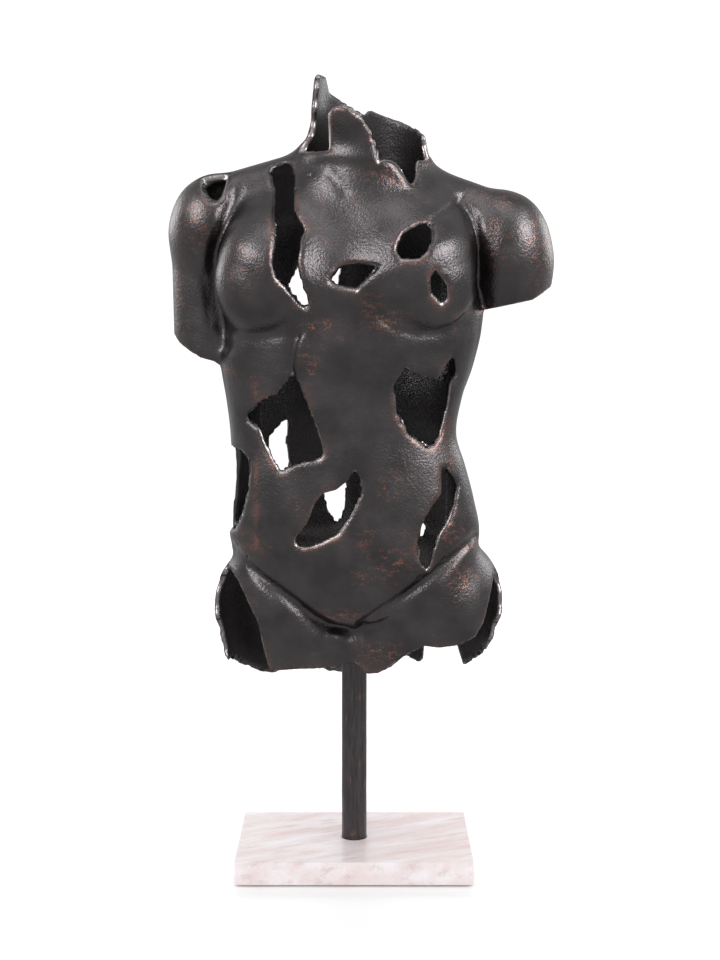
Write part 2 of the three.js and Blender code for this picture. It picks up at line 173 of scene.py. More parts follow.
# %% [markdown]
# ## Hips, shoulders, breasts and folds
# The belly overhangs the thighs on a V, so the trunk is cut on that V first and the hips join it with
# a small radius, which leaves the crisp fold. A breast runs softly into the chest above and has a
# tight crease below, so its join is wide on one side and narrow on the other. Folds are thin limbs cut
# out of the form with a wide radius.

# %% Body without arms
def hips(p):
    """Distance to the hips, the thighs and the seat"""
    form = limb(p, (-60, 5, 41), (-51, 6, -45), 61, 54)
    form = join(form, limb(p, (66, 5, 45), (52, 6, -45), 62.5, 52), 10)
    form = join(form, ellipsoid(p, (2, 18, 65), (92, 58, 52)), 20)
    form = join(form, ellipsoid(p, (-50, 46, 32), (56, 45, 64)), 14)
    form = join(form, ellipsoid(p, (54, 46, 34), (56, 45, 64)), 14)
    return join(form, ellipsoid(p, (-1, -10, 12), (36, 34, 32)), 10)


def breast(p, form, middle, up, radii, side):
    """Joins a breast to the form, softly above and inwards, with a crease below and outwards"""
    away = ((p[..., 0] - middle) * side * 0.45 - (p[..., 2] - up) * 0.9) / 40
    soft = 5 + 45 * ramp(0.5 - 0.9 * away)
    return join(form, ellipsoid(p, (middle, -40, up), radii, 13 * side - 5), soft)


LINES = [
    # width, depth (below 0 it stands out), points in x and z as seen from the front
    # left arm, the hollow beside it, under the left breast and on to the torn ribs
    (6.5, 5, [(-94, 408), (-98, 386), (-107, 361), (-114, 342), (-116, 326), (-115, 306), (-110, 288),
              (-105, 266)]),
    (13, 2, [(-106, 350), (-108, 318), (-103, 290)]),
    (3.5, 1.8, [(-125, 322), (-122, 305), (-120, 285)]),
    (6, 1.5, [(-104, 280), (-84, 276), (-60, 276), (-46, 276)]),
    (4, 3, [(-46, 276), (-50, 262), (-51, 246)]),
    (4, -1.5, [(-43, 272), (-44, 250)]),
    # right breast, seam down the belly
    (3, 1.4, [(10, 306), (20, 291), (32, 281), (48, 276), (65, 277), (81, 283), (93, 293), (100, 304)]),
    (3, 1.0, [(2, 290), (2, 240), (1, 178)]),
    # collar bone, right shoulder, left of the throat, rim of the collar
    (3, 2.4, [(62, 366), (87, 384), (99, 396)]),
    (5, 4.5, [(88, 384), (97, 371), (102, 347), (103, 330), (102, 314), (107, 301)]),
    (4, 1.5, [(-18, 404), (-7, 390)]),
    (5, -1.6, [(-46, 415), (-20, 420), (12, 417), (30, 410), (42, 400)]),
    # both groins, the rolls of the thighs, the lump over the rod
    (4.5, 2.2, [(-100, 98), (-74, 74), (-54, 60), (-34, 43), (-17, 34), (-5, 33)]),
    (4.5, 3.6, [(5, 38), (24, 52), (40, 62), (73, 86), (100, 107)]),
    (9, -3.5, [(-94, 80), (-68, 59), (-52, 44), (-36, 28), (-22, 14)]),
    (9, -3.5, [(98, 90), (81, 78), (61, 62), (40, 45), (22, 27)]),
    (4.5, -2.5, [(-18, 24), (-6, 19)]),
]


def drawn_lines(p):
    """How deep the lines on the front are let in at each point"""
    x, y, z = p[..., 0], p[..., 1], p[..., 2]
    carved = np.zeros(x.shape)
    for width, depth, points in LINES:
        low, high = np.min(points, 0) - 3 * width, np.max(points, 0) + 3 * width
        near = (x > low[0]) & (x < high[0]) & (z > low[1]) & (z < high[1]) & (y < 0)
        if near.any():
            away = line_distance(x[near], z[near], points)
            carved[near] += depth * hill(away, width) * ramp(-y[near] / 20)
    return carved


def squared_from_side(x, z, start, end):
    """Squared distance in the front view to the straight line between two points"""
    (ax, az), (dx, dz) = start, np.subtract(end, start)
    share = np.clip(((x - ax) * dx + (z - az) * dz) / (dx * dx + dz * dz), 0, 1)
    return (x - ax - share * dx) ** 2 + (z - az - share * dz) ** 2


def line_distance(x, z, points):
    """Distance in the front view to a line through points"""
    return np.sqrt(np.min([squared_from_side(x, z, *side) for side in zip(points[:-1], points[1:])], 0))


# The belly ends in front on a V with a round tip, and further down at the back
GROIN_UP, GROIN_RISE, GROIN_TIP = 20, 0.69, 16
GROIN_LEAN = 0.82  # turns the drop below the V into a distance square to it
GROIN_BACK = 40

FOLDS = [
    # start, end, start radius, end radius, softness
    ((-118, -54, 270), (-104, -66, 190), 8, 7, 12),  # rib arch on the left flank
    ((60, -70, 364), (96, -42, 388), 5, 5, 8),  # under the right collar bone
]


def body(p):
    """Distance to the whole figure without its arms"""
    x, y, z = p[..., 0], p[..., 1], p[..., 2]
    groin = (GROIN_UP + GROIN_RISE * np.hypot(x + 4, GROIN_TIP) - z) * GROIN_LEAN
    groin = groin - GROIN_BACK * ramp((y + 20) / 50)
    form = cut(trunk(p), -groin, 12)
    form = join(form, hips(p), 7)
    form = join(form, limb(p, (8, 12, 385), (19, 7, 545), 51, 46), 24)
    form = join(form, limb(p, (-18, 24, 413), (-108, 12, 380), 21, 27), 22)
    form = join(form, limb(p, (42, 22, 401), (112, 10, 367), 20, 28), 22)
    form = join(form, ellipsoid(p, (-60, 48, 322), (36, 24, 50), -12), 14)
    form = join(form, ellipsoid(p, (58, 48, 318), (36, 24, 50), 12), 14)
    form = breast(p, form, -75, 317, (45, 38, 47), -1)
    form = breast(p, form, 56, 318, (46, 40, 45), 1)
    form = join(form, ellipsoid(p, (0, -30, 460), (24, 16, 22)), 12)
    for start, end, start_radius, end_radius, soft in FOLDS:
        form = cut(form, limb(p, start, end, start_radius, end_radius), soft)
    return form


# %% Arm stumps
def left_arm(p):
    """Distance to the left arm, drawn longer than the line it is torn off at"""
    upper = limb(p, (-120, 14, 355), (-121, 16, 195), 34, 31)
    return join(ellipsoid(p, (-119, 12, 361), (36, 42, 45)), upper, 8)


def right_arm(p):
    """Distance to the right arm, drawn longer than the line it is torn off at"""
    upper = limb(p, (129, 10, 330), (127, 14, 215), 37, 35)
    return join(ellipsoid(p, (128, 8, 339), (39, 43, 54)), upper, 8)


ARM_SOFT = 9


def skin(p, trunk_skin, carved):
    """Distance to the whole outer skin with its drawn lines"""
    return join(join(trunk_skin, left_arm(p), ARM_SOFT), right_arm(p), ARM_SOFT) + carved


# %% [markdown]
# ## Torn openings
# On a casting like this the wax is torn open before the metal is poured, so each opening has a ragged
# outline and shows the wall's thickness. Each outline is drawn as seen from the front, in x and z, and
# cuts straight through between two depths in y. A boolean could cut them, but as distances they can
# round the rim and later tell the finish how far each point is from a torn edge.

# %% Outlines of the openings
FRONT, BACK = -120, 120  # depths well outside the figure

TEARS = [
    # outline in x and z, then where it starts and ends in y
    # left chest slot, eye between the breasts, two holes in the right breast
    ([(-70, 410), (-59, 416), (-51, 414), (-49, 408), (-47, 374), (-38, 358), (-41, 350), (-43, 333),
      (-39, 314), (-34, 301), (-36, 291), (-46, 300), (-64, 322), (-65, 333), (-64, 359),
      (-67, 393)], FRONT, 12),
    ([(-21, 317), (-13, 329), (-7, 332), (5, 333), (22, 330), (15, 323), (7, 315), (3, 309),
      (-11, 312)], FRONT, 0),
    ([(32, 343), (38, 356), (51, 363), (59, 364), (63, 360), (63, 350), (58, 338), (51, 334),
      (37, 333)], FRONT, 0),
    ([(64, 329), (75, 315), (76, 302), (70, 297), (61, 307), (60, 321)], FRONT, 0),
    # left ribs, right ribs
    ([(-49, 247), (-63, 228), (-76, 222), (-89, 210), (-88, 204), (-78, 197), (-72, 182), (-61, 163),
      (-57, 163), (-49, 169), (-27, 173), (-23, 179), (-28, 198), (-37, 221), (-44, 238)], FRONT, 0),
    ([(31, 235), (42, 251), (49, 243), (58, 242), (67, 239), (81, 260), (83, 256), (85, 244), (80, 234),
      (78, 216), (75, 205), (71, 190), (63, 182), (55, 185), (44, 193), (34, 210), (33, 221)], FRONT, 0),
    # belly leaf, curved slot on the right of the belly
    ([(1, 168), (7, 158), (6, 144), (-1, 128), (-11, 113), (-26, 105), (-42, 101), (-49, 104),
      (-49, 110), (-39, 123), (-33, 139), (-26, 148), (-15, 151), (-6, 158)], FRONT, 0),
    ([(71, 166), (77, 167), (83, 157), (86, 148), (83, 135), (79, 123), (71, 111), (66, 96), (63, 83),
      (59, 81), (52, 91), (51, 106), (54, 120), (62, 134), (70, 144), (71, 156)], FRONT, 0),
    # left flank, top of the left shoulder
    ([(-140, 181), (-93, 181), (-85, 173), (-84, 163), (-86, 145), (-91, 126), (-97, 112), (-104, 108),
      (-140, 108)], FRONT, 6),
    ([(-128, 430), (-128, 399), (-126, 391), (-121, 383), (-114, 379), (-107, 384), (-104, 399),
      (-104, 430)], -60, 4),
    # back wall: left shoulder blade, waist, loin and right loin
    ([(-49, 334), (-60, 314), (-46, 294), (-25, 300), (-13, 313), (-10, 331), (-30, 341)], 0, BACK),
    ([(-64, 197), (-60, 200), (-56, 199), (-58, 178), (-55, 160), (-63, 148), (-76, 166),
      (-76, 184)], 0, BACK),
    ([(-34, 156), (-5, 158), (-6, 138), (-7, 126), (-9, 110), (-16, 103), (-23, 112), (-28, 128)], 0, BACK),
    ([(44, 113), (58, 112), (65, 103), (63, 91), (48, 87)], 0, BACK),
]

NECK_FRONT = [
    (-140, 600), (-140, 450), (-60, 424.5), (-43, 424), (-19, 423), (-20, 452), (-16, 457), (-7, 457),
    (5, 449), (14, 436), (19, 421), (18, 413), (25, 415), (32, 414), (38, 408), (43, 398), (48, 395),
    (51, 402), (52, 416), (66, 418), (80, 450), (80, 600),
]
NECK_BACK = [
    (-140, 600), (-140, 520), (-34, 489), (-24, 490), (-21, 477), (-8, 470), (5, 463), (8, 460),
    (13, 465), (22, 461), (40, 454), (54, 446), (60, 437), (63, 423), (90, 440), (140, 600),
]
HEM_FRONT = [
    (-160, 78), (-104, 76), (-97, 70), (-90, 58), (-80, 39), (-75, 15), (-70, -4), (-45, -2), (-16, -4),
    (-8, 0), (0, 2), (7, -4), (10, -11), (19, -10), (26, -6), (36, 4), (49, 13), (58, 18), (74, 16),
    (88, 18), (101, 23), (108, 34), (113, 53), (119, 73), (130, 80), (160, 80), (160, -130), (-160, -130),
]
HEM_BACK = [
    (-160, 24), (-130, 20), (-121, 16), (-117, 6), (-113, -3), (-101, -17), (-84, -28), (-72, -31),
    (-50, -24), (-22, -28), (10, -21), (32, -26), (46, -18), (57, -23), (62, -22), (64, -6), (76, 4),
    (91, -3), (93, -9), (97, -21), (109, -9), (122, 12), (128, 29), (160, 40), (160, -130), (-160, -130),
]
LEFT_ARM_END = [(-180, 276), (-152, 273), (-147, 267), (-137, 260), (-128, 255), (-117, 252), (-108, 246),
                (-80, 240), (-80, 100), (-180, 100)]
RIGHT_ARM_END = [(180, 318), (162, 312), (158, 309), (148, 303), (129, 299), (110, 295), (80, 290),
                 (80, 100), (180, 100)]


# %% Distances to the torn edges
FAR = 12.0
WALL = 5.0
RIM_SLOPE = 3.0
RIM_RISE = 1.6
NECK_FROM, NECK_SLOPE = 380, 0.6
HEM_FRONT_TO, HEM_BACK_TO = 95, 45
ARM_FROM, LEFT_ARM_TO, RIGHT_ARM_TO = 70, 300, 330
ARM_PARTING = 1


def outline_distance(x, z, outline):
    """Distance in the front view to a closed outline, negative inside"""
    within = np.zeros(x.shape, bool)
    for (ax, az), (bx, bz) in zip(outline, outline[1:] + outline[:1]):
        if az != bz:
            within ^= ((az > z) != (bz > z)) & (x < ax + (z - az) * (bx - ax) / (bz - az))
    return np.where(within, -1, 1) * line_distance(x, z, outline + outline[:1])


def side_line(z):
    """Where the front and the back of a torn end meet, wandering along the side"""
    return 8 + 3 * np.sin(z / 7) + 2 * np.sin(z / 3.1 + 1)


def torn(p, trunk_skin, outer):
    """Distance to what is torn away, clipped where it is far"""
    x, y, z = p[..., 0], p[..., 1], p[..., 2]
    share = np.clip(-outer / WALL, 0, 1)
    slope = RIM_SLOPE * share
    risen = z - RIM_RISE * share
    away = np.full(x.shape, FAR)
    for outline, y_from, y_to in TEARS:
        low, high = np.min(outline, 0) - FAR, np.max(outline, 0) + FAR
        near = (x > low[0]) & (x < high[0]) & (z > low[1]) & (z < high[1])
        near &= (y > y_from - FAR) & (y < y_to + FAR)
        if near.any():
            deep = np.maximum(y_from - y[near], y[near] - y_to)
            rim = outline_distance(x[near], risen[near], outline) + slope[near]
            away[near] = np.minimum(away[near], np.maximum(rim, deep))
    line = side_line(z)
    ends = [
        (NECK_FRONT, y - line, z > NECK_FROM, NECK_SLOPE), (NECK_BACK, line - y, z > NECK_FROM, 0.0),
        (HEM_FRONT, y - line, z < HEM_FRONT_TO, 0.0), (HEM_BACK, line - y, z < HEM_BACK_TO, 0.0),
        (LEFT_ARM_END, ARM_PARTING - trunk_skin, (x < -ARM_FROM) & (z < LEFT_ARM_TO), 0.0),
        (RIGHT_ARM_END, ARM_PARTING - trunk_skin, (x > ARM_FROM) & (z < RIGHT_ARM_TO), 0.0),
    ]
    for outline, limit, near, sloped in ends:
        if near.any():
            rim = outline_distance(x[near], z[near], outline) + sloped * slope[near]
            away[near] = np.minimum(away[near], np.maximum(rim, limit[near]))
    return away


# %% [markdown]
# ## The hollow casting
# The wall is 5 mm thick, so the hollow is simply everything more than 5 mm inside the skin. The arms
# have hollows of their own, parted from the body's by its wall. A boss inside the crotch takes the
# rod, with a web to the front wall, and is bored out to let the rod in.

# %% Casting as one distance
RIM_ROUND, EDGE_ROUND, BORE_ROUND = 1.6, 1.0, 0.6
LINE_BACKING, LINE_EXTRA, LINE_FULL = 1.25, 1.6, 1.5
BOSS_WALL, BOSS_TOP, BOSS_BELOW, BOSS_INSIDE, BOSS_SOFT = 4.5, 5, 2, 1.0, 3.0
WEB_HALF, WEB_FROM, WEB_TOP, WEB_FRONT = 5, 5, 4, -90


def hollow(p, trunk_skin, carved):
    """Distance to the empty space inside, which keeps the wall sound behind the drawn lines"""
    arms = [np.maximum(arm(p) + WALL, -trunk_skin) for arm in (left_arm, right_arm)]
    thicker = LINE_BACKING * carved + LINE_EXTRA * ramp(np.abs(carved) / LINE_FULL)
    return np.minimum(trunk_skin + WALL, np.minimum(*arms)) + thicker


def boss(p):
    """Distance to the boss over the rod's end and its web"""
    x, y, z = p[..., 0], p[..., 1], p[..., 2]
    height = np.maximum(-BOSS_BELOW - z, z - rod_in_torso - BOSS_TOP)
    post = np.maximum(np.hypot(x, y) - (rod_radius + fit_gap + BOSS_WALL), height)
    web_height = np.maximum(WEB_FROM - z, z - rod_in_torso - WEB_TOP)
    web = np.maximum(np.maximum(np.abs(x) - WEB_HALF, y), web_height)
    return np.minimum(post, np.maximum(web, WEB_FRONT - y))


def casting(p):
    """Distance to the metal of the torso, in drawing millimetres from the crotch"""
    trunk_skin, carved = body(p), drawn_lines(p)
    outer = skin(p, trunk_skin, carved)
    form = cut(outer, hollow(p, trunk_skin, carved), EDGE_ROUND)
    form = cut(form, torn(p, trunk_skin, outer), RIM_ROUND)
    form = join(form, cut(boss(p), -(outer + BOSS_INSIDE), EDGE_ROUND), BOSS_SOFT)
    bore_height = p[..., 2] - rod_in_torso - fit_gap
    bore = np.maximum(np.hypot(p[..., 0], p[..., 1]) - rod_radius - fit_gap, bore_height)
    return cut(form, bore, BORE_ROUND)


# %% [markdown]
# ## From distances to a mesh
# The space is divided into small cubes. Every cube that the surface crosses gets one point, and every
# edge of the grid that it crosses gets one four-sided face. Each point then slides down the slope of
# the distance onto the true surface. Blender's own Remesh could do this from a mesh, but there is no
# mesh yet, and the slide keeps the torn rims where they belong.

# %% Grid, crossings and faces
def cell_mesh(form, low, high, step):
    """Points and four-sided faces of the surface where a form's distance is zero"""
    low, slices = np.array(low, float), 16
    count = np.ceil((np.array(high) - low) / step).astype(int) + 1
    xs, ys, zs = (low[i] + step * np.arange(count[i]) for i in range(3))
    values = np.empty(count, np.float32)
    for first in range(0, count[0], slices):
        grid = np.stack(np.meshgrid(xs[first:first + slices], ys, zs, indexing="ij"), -1)
        values[first:first + slices] = form(grid)
    inside = values < 0
    cells = count - 1
    corners = [(a, b, c) for a in (0, 1) for b in (0, 1) for c in (0, 1)]
    filled = sum(inside[a:a + cells[0], b:b + cells[1], c:c + cells[2]].astype(np.int8)
                 for a, b, c in corners)
    places = np.argwhere((filled > 0) & (filled < 8))
    number = np.full(cells, -1, np.int64)
    number[tuple(places.T)] = np.arange(len(places))
    total, crossings = np.zeros((len(places), 3)), np.zeros(len(places))
    for corner in corners:
        for axis in range(3):
            if corner[axis]:
                continue
            other = np.array(corner)
            other[axis] = 1
            here = values[tuple((places + corner).T)]
            there = values[tuple((places + other).T)]
            crossed = (here < 0) != (there < 0)
            spot = np.tile(np.array(corner, float), (len(places), 1))
            spot[:, axis] += np.where(crossed, here / np.where(crossed, here - there, 1), 0)
            total[crossed] += spot[crossed]
            crossings[crossed] += 1
    points = low + step * (places + total / crossings[:, None])
    return points, np.concatenate([grid_faces(inside, number, cells, axis) for axis in range(3)])


def grid_faces(inside, number, cells, axis):
    """One face for each grid edge along an axis that the surface crosses"""
    one, two = [i for i in range(3) if i != axis]
    start = [slice(1, cells[i]) for i in range(3)]
    start[axis] = slice(0, cells[axis])
    end = list(start)
    end[axis] = slice(1, cells[axis] + 1)
    here, there = inside[tuple(start)], inside[tuple(end)]
    edges = np.argwhere(here != there)
    solid_first = here[tuple(edges.T)]
    base = edges + [int(i != axis) for i in range(3)]
    around = []
    for back_one, back_two in ((1, 1), (0, 1), (0, 0), (1, 0)):
        cell = base.copy()
        cell[:, one] -= back_one
        cell[:, two] -= back_two
        around.append(number[tuple(cell.T)])
    faces = np.stack(around, 1)
    turned = solid_first if axis == 1 else ~solid_first
    faces[turned] = faces[turned][:, ::-1]
    return faces


def settle(form, points):
    """Slides points down the slope onto the surface, by a limited step"""
    reach, flattest, farthest = 0.4, 0.25, 1.2
    slope = np.stack([(form(points + reach * side) - form(points - reach * side)) / (2 * reach)
                      for side in np.eye(3)], -1)
    step = form(points) / np.maximum((slope * slope).sum(-1), flattest)
    return points - np.clip(step[:, None] * slope, -farthest, farthest)


# %% [markdown]
# ## Even spacing
# Cubes of a few millimetres leave a torn rim jagged, because their points bunch up on one side of it or
# the other. So every point drifts towards the middle of its neighbours and slides back onto the surface.

# %% Even spacing
def even_out(form, points, faces, rounds):
    """Lets points drift to the middle of their neighbours and slides them back onto the surface"""
    sides = np.concatenate([faces[:, [k, (k + 1) % 4]] for k in range(4)])
    sides = np.concatenate([sides, sides[:, ::-1]])
    count = np.bincount(sides[:, 0], minlength=len(points))[:, None]
    for _ in range(rounds):
        total = [np.bincount(sides[:, 0], points[sides[:, 1], axis], len(points)) for axis in range(3)]
        points = settle(form, (points + np.stack(total, -1) / count) / 2)
    return points


# %% Helpers that turn numbers into Blender pieces
def place_points(points):
    """Drawing millimetres round the rod to metres in the model's frame"""
    return (points + [axis_x, axis_y, 0]) / MM


def new_piece(name, points, faces):
    """A smooth shaded mesh object at the origin, from points in millimetres round the rod"""
    mesh = bpy.data.meshes.new(name)
    mesh.from_pydata(place_points(np.asarray(points, float)).tolist(), [], [list(face) for face in faces])
    mesh.update()
    mesh.polygons.foreach_set("use_smooth", [True] * len(mesh.polygons))
    piece = bpy.data.objects.new(name, mesh)
    bpy.context.scene.collection.objects.link(piece)
    return piece


# %% Cast torso
CELL = 2.9  # a smaller one makes over 200,000 triangles
GRID_LOW, GRID_HIGH = (-164, -106, -42), (175, 115, 500)
torso_points, torso_faces = cell_mesh(casting, GRID_LOW, GRID_HIGH, CELL)
torso_points = even_out(casting, settle(casting, torso_points), torso_faces, 6)
torso = new_piece("cast_torso", torso_points + [0, 0, crotch_up], torso_faces)
print(f"cast torso: {len(torso_points)} points, {2 * len(torso_faces)} triangles")

# %% [markdown]
# ## Where the black skin is rubbed through
# The black patina wears where hands and cloths reach it: on torn rims, on folds that stand out, and in
# scuffs over the belly and breasts. The cut faces of the wall stay brighter. Three numbers are kept on
# every point of the mesh, and the finish reads them: how near a torn edge is, how deep in the wall the
# point lies, and how much it is scuffed.

# %% Wear kept on the torso's points
SCUFFS = [
    # x, z, half width, half height, strength, all on the front
    (27, 287, 13, 8, 1.0), (14, 300, 8, 8, 0.7), (-28, 283, 15, 4, 0.8), (-34, 256, 7, 16, 0.7),
    (-91, 326, 15, 18, 0.4), (-128, 363, 16, 18, 0.5), (-144, 306, 8, 30, 0.4), (152, 345, 10, 26, 0.6),
    (118, 388, 18, 10, 0.5), (26, 404, 18, 8, 0.6), (31, 154, 12, 12, 0.6), (9, 110, 8, 14, 0.5),
    (30, 88, 14, 12, 1.0), (10, 78, 12, 6, 0.9), (79, 115, 14, 12, 0.7), (89, 73, 12, 12, 0.7),
    (22, 10, 18, 8, 0.8), (-13, 45, 18, 5, 0.8), (-46, 137, 6, 7, 0.5), (-77, 103, 10, 6, 0.4),
    (115, 350, 12, 20, 0.5),
]
BACK_SCUFFS = [(-60, 330, 22, 26, 0.6), (58, 326, 22, 26, 0.6), (-50, 40, 28, 26, 0.7), (54, 42, 28, 26, 0.7)]


def scuffed(points):
    """0 where the skin is whole, towards 1 where it is scuffed"""
    x, y, z = points.T
    amount = np.zeros(len(points))
    for patches, facing in ((SCUFFS, y < 0), (BACK_SCUFFS, y > 0)):
        for middle, up, wide, high, strength in patches:
            spot = strength * hill(x - middle, wide) * hill(z - up, high) * facing
            amount = np.maximum(amount, spot)
    return amount


def keep_on_points(piece, name, values):
    """Stores one number for each point of a piece"""
    stored = piece.data.attributes.new(name, "FLOAT", "POINT")
    stored.data.foreach_set("value", np.asarray(values, np.float32))


EDGE_WEAR, NEAR_EDGE = 1.8, 2.5
UNDER_RIM, UNDER_SKIN = 1, 2

trunk_skin = body(torso_points)
outer_skin = skin(torso_points, trunk_skin, drawn_lines(torso_points))
edge_distance = torn(torso_points, trunk_skin, outer_skin)
arm_rim = np.minimum(*(outline_distance(torso_points[:, 0], torso_points[:, 2], outline)
                       for outline in (LEFT_ARM_END, RIGHT_ARM_END)))
under_arm = (arm_rim < UNDER_RIM) & (trunk_skin < UNDER_SKIN)
depth_in_wall = np.clip(-np.where(under_arm, trunk_skin + 1, outer_skin) / WALL, 0, 1)
edge_distance = np.where(under_arm, np.abs(arm_rim), edge_distance)
keep_on_points(torso, "wall_depth", depth_in_wall)
keep_on_points(torso, "torn_edge", np.exp(-np.maximum(edge_distance, 0) / EDGE_WEAR))
keep_on_points(torso, "scuff", scuffed(torso_points))
print("points near a torn edge:", int((edge_distance < NEAR_EDGE).sum()))

# %% [markdown]
# ## One function for nodes, one for colours
# Every tree below is built with the same small function: it adds a node, sets its properties and fills
# its inputs. An input is a value, the output of a node, or a node, which gives its first output that is
# in use. Noise is scaled by MM over its grain in millimetres. Colours are written as the hex values a
# paint program shows and turned to the linear values that light needs.

# %% Node and colour helpers
def add_node(tree, kind, settings=None, **inputs):
    """Adds a node; an input's name is written with _ for spaces, or as in0, in1 by its number"""
    node = tree.nodes.new(kind)
    for name, value in (settings or {}).items():
        setattr(node, name, value)
    for name, value in inputs.items():
        numbered = name[:2] == "in" and name[2:].isdigit()
        socket = node.inputs[int(name[2:]) if numbered else name.replace("_", " ")]
        if isinstance(value, bpy.types.Node):
            value = next(output for output in value.outputs if output.enabled)
        if isinstance(value, bpy.types.NodeSocket):
            tree.links.new(value, socket)
        else:
            socket.default_value = value
    return node


def linear(hex_colour):
    """Colour as Blender wants it, from sRGB hex such as #3f3a39"""
    shares = [int(hex_colour[i:i + 2], 16) / 255 for i in (1, 3, 5)]
    return (*[s / 12.92 if s <= 0.04045 else ((s + 0.055) / 1.055) ** 2.4 for s in shares], 1.0)


def new_material(name):
    """An empty material and its tree"""
    material = bpy.data.materials.new(name)
    material.use_nodes = True
    material.node_tree.nodes.clear()
    return material, material.node_tree


COLOURS = {"data_type": "RGBA"}
TIMES, LARGER = {"operation": "MULTIPLY"}, {"operation": "MAXIMUM"}
TIMES_WITHIN_ONE = TIMES | {"use_clamp": True}

# %% [markdown]
# ## Blackened cast aluminium
# Cast aluminium has a fine leathery grain of about a millimetre. This one looks as if it was given a
# copper wash and then blackened, with the black rubbed back, so copper red shows on rims and scuffs.
# The skin is bare metal, so its metallic value is 1 and the colour of the metal carries the patina.
# Inside, where nobody rubs it, the value falls to 0.5, which keeps the hollow dark and dull. The grain
# is drawn 2 mm across, coarser than the real one, because a finer one would not show at this size.

# %% Finish of the torso
def cast_aluminium():
    material, tree = new_material("blackened_cast_aluminium")
    where = add_node(tree, "ShaderNodeTexCoord").outputs["Object"]
    wall_depth, torn_edge, scuff = (
        add_node(tree, "ShaderNodeAttribute", {"attribute_name": name}).outputs["Fac"]
        for name in ("wall_depth", "torn_edge", "scuff"))
    cloud = add_node(tree, "ShaderNodeTexNoise", Vector=where, Scale=MM / 26, Detail=4.0)
    shade = add_node(tree, "ShaderNodeMapRange", Value=cloud, From_Min=0.35, From_Max=0.65)
    patina = add_node(tree, "ShaderNodeMix", COLOURS, in0=shade, in6=linear("#464344"), in7=linear("#524f50"))

    # copper rubbed bare: at torn edges, in scuffs, and a little anywhere
    speckle = add_node(tree, "ShaderNodeTexNoise", Vector=where, Scale=MM / 1.7, Detail=4.0, Roughness=0.7)
    wiped = add_node(tree, "ShaderNodeMapping", Vector=where, Rotation=(0.3, 0.5, 0.2), Scale=(0.6, 1.0, 1.3))
    streak = add_node(tree, "ShaderNodeTexNoise", Vector=wiped, Scale=MM / 5, Detail=5.0, Roughness=0.65)

    def patches(first, second, low, high, most=1.0):
        """Where two noises are both strong"""
        both = add_node(tree, "ShaderNodeMath", TIMES, in0=first, in1=second)
        return add_node(tree, "ShaderNodeMapRange", Value=both, From_Min=low, From_Max=high, To_Max=most)

    edge_rub = add_node(tree, "ShaderNodeMath", TIMES, in0=torn_edge,
                        in1=patches(speckle, cloud, 0.24, 0.40, 0.8))
    scuff_rub = add_node(tree, "ShaderNodeMath", TIMES, in0=scuff, in1=patches(streak, speckle, 0.26, 0.36))
    rubbed = add_node(tree, "ShaderNodeMath", LARGER, in0=edge_rub, in1=scuff_rub)
    stray_rub = patches(streak, cloud, 0.37, 0.46, 0.18)
    rubbed = add_node(tree, "ShaderNodeMath", LARGER, in0=rubbed, in1=stray_rub)
    on_skin = add_node(tree, "ShaderNodeMapRange", Value=wall_depth, From_Max=0.35, To_Min=1.0, To_Max=0.0)
    rubbed = add_node(tree, "ShaderNodeMath", TIMES_WITHIN_ONE, in0=rubbed, in1=on_skin)
    colour = add_node(tree, "ShaderNodeMix", COLOURS, in0=rubbed, in6=patina, in7=linear("#a8705c"))

    # brighter metal on the cut face of the wall, and black inside
    below_skin = add_node(tree, "ShaderNodeMapRange", Value=wall_depth, From_Min=0.1, From_Max=0.3)
    off_hollow = add_node(tree, "ShaderNodeMapRange", Value=wall_depth, From_Min=0.95, From_Max=0.75)
    at_tear = add_node(tree, "ShaderNodeMapRange", Value=torn_edge, From_Min=0.55, From_Max=0.9)
    in_wall = add_node(tree, "ShaderNodeMath", TIMES, in0=below_skin, in1=off_hollow)
    cut_face = add_node(tree, "ShaderNodeMath", TIMES_WITHIN_ONE, in0=in_wall, in1=at_tear)
    cut_face = add_node(tree, "ShaderNodeMath", TIMES, in0=cut_face, in1=0.85)
    colour = add_node(tree, "ShaderNodeMix", COLOURS, in0=cut_face, in6=colour, in7=linear("#8f8a89"))
    inner = add_node(tree, "ShaderNodeMapRange", Value=wall_depth, From_Min=0.85)
    colour = add_node(tree, "ShaderNodeMix", COLOURS, in0=inner, in6=colour, in7=linear("#423f3f"))

    grain = add_node(tree, "ShaderNodeTexNoise", Vector=where, Scale=MM / 2, Detail=2.0, Roughness=0.6)
    ripple = add_node(tree, "ShaderNodeTexNoise", Vector=where, Scale=MM / 9, Detail=2.0)
    ripple = add_node(tree, "ShaderNodeMath", TIMES, in0=ripple, in1=0.7)
    height = add_node(tree, "ShaderNodeMath", in0=grain, in1=ripple)
    bump = add_node(tree, "ShaderNodeBump", Strength=0.7, Distance=0.0006, Height=height)
    metallic = add_node(tree, "ShaderNodeMapRange", Value=inner, To_Min=1.0, To_Max=0.5)
    rough = add_node(tree, "ShaderNodeMapRange", Value=cloud, From_Min=0.3, From_Max=0.7, To_Min=0.3,
                     To_Max=0.4)
    shader = add_node(tree, "ShaderNodeBsdfPrincipled", Metallic=metallic, Base_Color=colour, Roughness=rough,
                      Normal=bump)
    add_node(tree, "ShaderNodeOutputMaterial", Surface=shader)
    return material


torso_metal = cast_aluminium()
torso.data.materials.append(torso_metal)
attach(torso, "root")
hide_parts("torso")
print("torso finished in", torso_metal.name)

